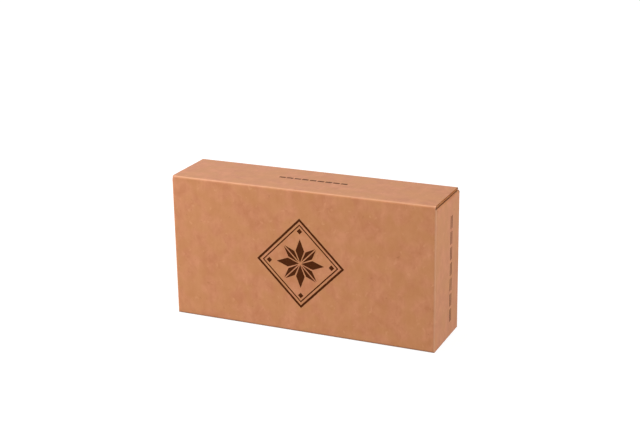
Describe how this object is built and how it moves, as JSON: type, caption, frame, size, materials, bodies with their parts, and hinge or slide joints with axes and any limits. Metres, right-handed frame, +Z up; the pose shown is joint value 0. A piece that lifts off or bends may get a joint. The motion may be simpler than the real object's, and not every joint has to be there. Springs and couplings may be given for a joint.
{
  "type": "tuck-top cardboard carton",
  "caption": "Closed kraft cardboard carton of micro-flute board with a hinged tuck lid, dust flaps, glued crash-lock bottom and a plain geometric print.",
  "frame": {"origin": "centre of the footprint, on the floor", "axes": "+X along the long side, -Y out of the printed front panel, +Z up through the lid"},
  "size_m": [0.21, 0.052, 0.1111],
  "materials": {
    "kraft_board": "matte",
    "brown_ink": "matte"
  },
  "bodies": {
    "carton": {"carton_body": "kraft_board", "front_print": "brown_ink", "side_print": "brown_ink"},
    "lid": {"top_lid": "kraft_board", "lid_print": "brown_ink"}
  },
  "joints": [
    {"name": "lid_hinge", "type": "hinge", "parent": "carton", "child": "lid", "pos_m": [0, -0.02551, 0.11051], "axis": [1, 0, 0], "range_deg": [0, 180]}
  ]
}
